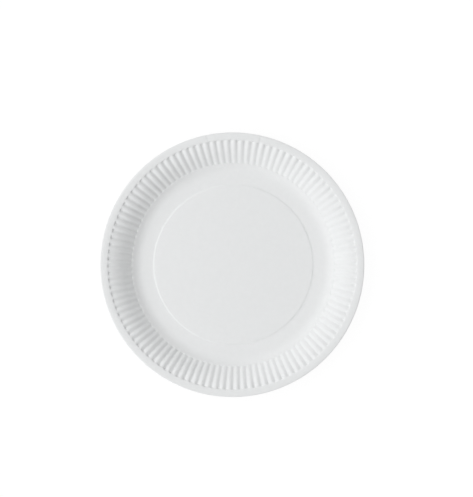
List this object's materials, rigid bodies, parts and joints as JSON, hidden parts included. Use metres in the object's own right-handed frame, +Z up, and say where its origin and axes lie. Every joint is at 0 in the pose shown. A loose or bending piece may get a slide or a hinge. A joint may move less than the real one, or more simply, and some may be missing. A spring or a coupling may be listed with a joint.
{
  "type": "paper plate",
  "caption": "Round pressed paper plate with a stepped flat base, a fluted sloping wall and a plain turned-down lip.",
  "frame": {"origin": "on the plate's axis, in the plane of the flat foot's underside", "axes": "+Z up the plate's axis and out of its open side; +X to the right and +Y away from the viewer in the picture"},
  "size_m": [0.23, 0.23, 0.0151],
  "materials": {
    "paper": "matte"
  },
  "bodies": {
    "root": {"plate": "paper"}
  },
  "joints": []
}
